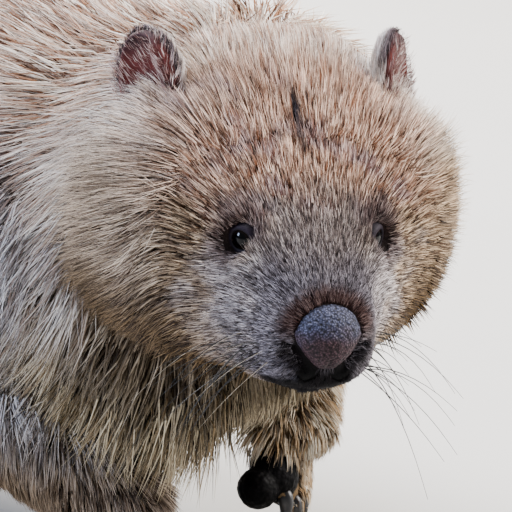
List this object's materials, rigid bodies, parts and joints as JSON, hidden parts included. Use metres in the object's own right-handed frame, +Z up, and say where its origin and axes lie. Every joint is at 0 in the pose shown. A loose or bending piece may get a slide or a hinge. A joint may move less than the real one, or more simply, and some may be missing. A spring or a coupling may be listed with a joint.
{
  "type": "wombat",
  "caption": "Young bare-nosed wombat in mid-step, its head turned to its right and its left forefoot lifted, as a life-size museum model with a full shaggy coat.",
  "frame": {"origin": "middle of the model's footprint box, level with the planted soles", "axes": "+Z up, the animal faces -Y and its left side is +X"},
  "size_m": [0.2676, 0.7336, 0.2872],
  "materials": {
    "coat": "dense shaggy fur, tan to grey-brown with pale tips",
    "face": "shorter dense fur, grey on the muzzle and golden on the cheeks",
    "pad": "granular bare skin",
    "ear": "thin skin with fine short hair",
    "eye": "wet and dark",
    "paw": "short fur over rough dark skin",
    "claw": "worn horn"
  },
  "bodies": {
    "root": {"ear_left": "ear", "ear_right": "ear", "eye_left": "eye", "eye_right": "eye", "fore_claw_left_1": "claw", "fore_claw_left_2": "claw", "fore_claw_left_3": "claw", "fore_claw_left_4": "claw", "fore_claw_left_5": "claw", "fore_claw_right_1": "claw", "fore_claw_right_2": "claw", "fore_claw_right_3": "claw", "fore_claw_right_4": "claw", "fore_claw_right_5": "claw", "forefoot_left": "paw", "forefoot_right": "paw", "foreleg_left": "coat", "foreleg_right": "coat", "head": "face", "hind_claw_left_1": "claw", "hind_claw_left_2": "claw", "hind_claw_left_3": "claw", "hind_claw_left_4": "claw", "hind_claw_right_1": "claw", "hind_claw_right_2": "claw", "hind_claw_right_3": "claw", "hind_claw_right_4": "claw", "hindfoot_left": "paw", "hindfoot_right": "paw", "hindleg_left": "coat", "hindleg_right": "coat", "lower_jaw": "face", "neck": "coat", "nose": "pad", "tail": "coat", "torso": "coat"}
  },
  "joints": []
}
